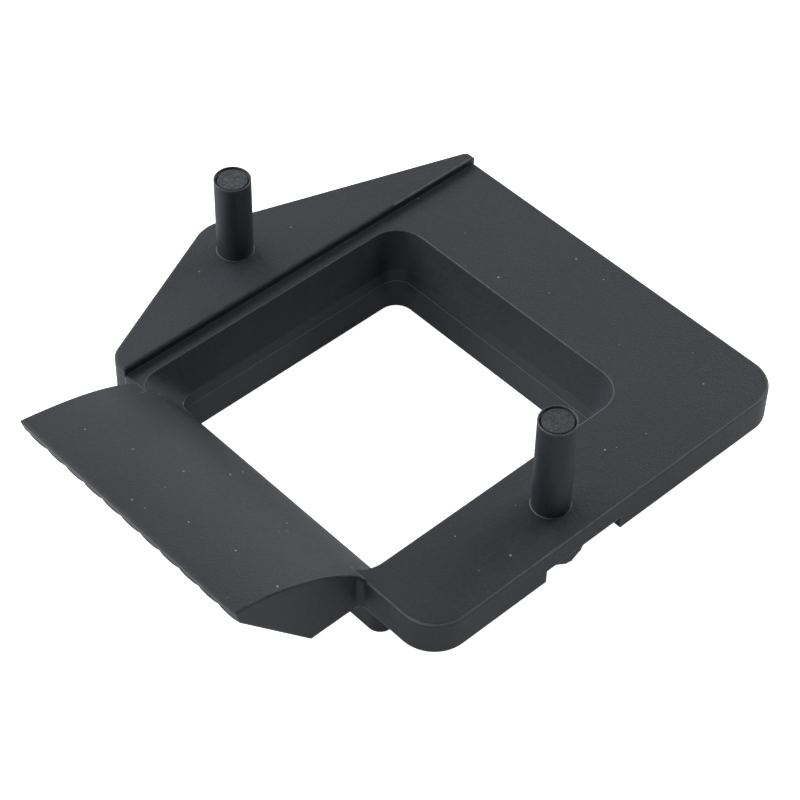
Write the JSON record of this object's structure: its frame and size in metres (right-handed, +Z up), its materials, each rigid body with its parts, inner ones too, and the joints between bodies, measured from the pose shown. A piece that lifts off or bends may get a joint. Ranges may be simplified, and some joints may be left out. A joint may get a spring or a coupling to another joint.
{
  "type": "cpu holder",
  "caption": "Flat open plastic end frame for a computer case holder, with a curved gripping lip on one side, upright locating pegs and a sleeve below the window.",
  "frame": {"origin": "under the middle of the part's bounding box, on the plane that the window sleeve stands on", "axes": "+X from the gripping lip across the frame, +Y from the front edge to the raised land at the back, +Z up along the pegs"},
  "size_m": [0.1308, 0.115, 0.044],
  "materials": {
    "grained_plastic": "fine spark-eroded grain, near black with a cool tint",
    "smooth_plastic": "smooth as moulded, satin",
    "grip_plastic": "scalloped grip face, satin",
    "peg_plastic": "smooth turned side, dull mottled end"
  },
  "bodies": {
    "root": {"frame_plate": "grained_plastic", "corner_land": "grained_plastic", "curved_lip": "grained_plastic", "lip_grip": "grip_plastic", "window_sleeve": "smooth_plastic", "front_peg": "peg_plastic", "rear_peg": "peg_plastic", "front_boss": "smooth_plastic", "rear_boss": "smooth_plastic", "inner_ribs": "smooth_plastic", "gate_stub": "smooth_plastic"}
  },
  "joints": []
}
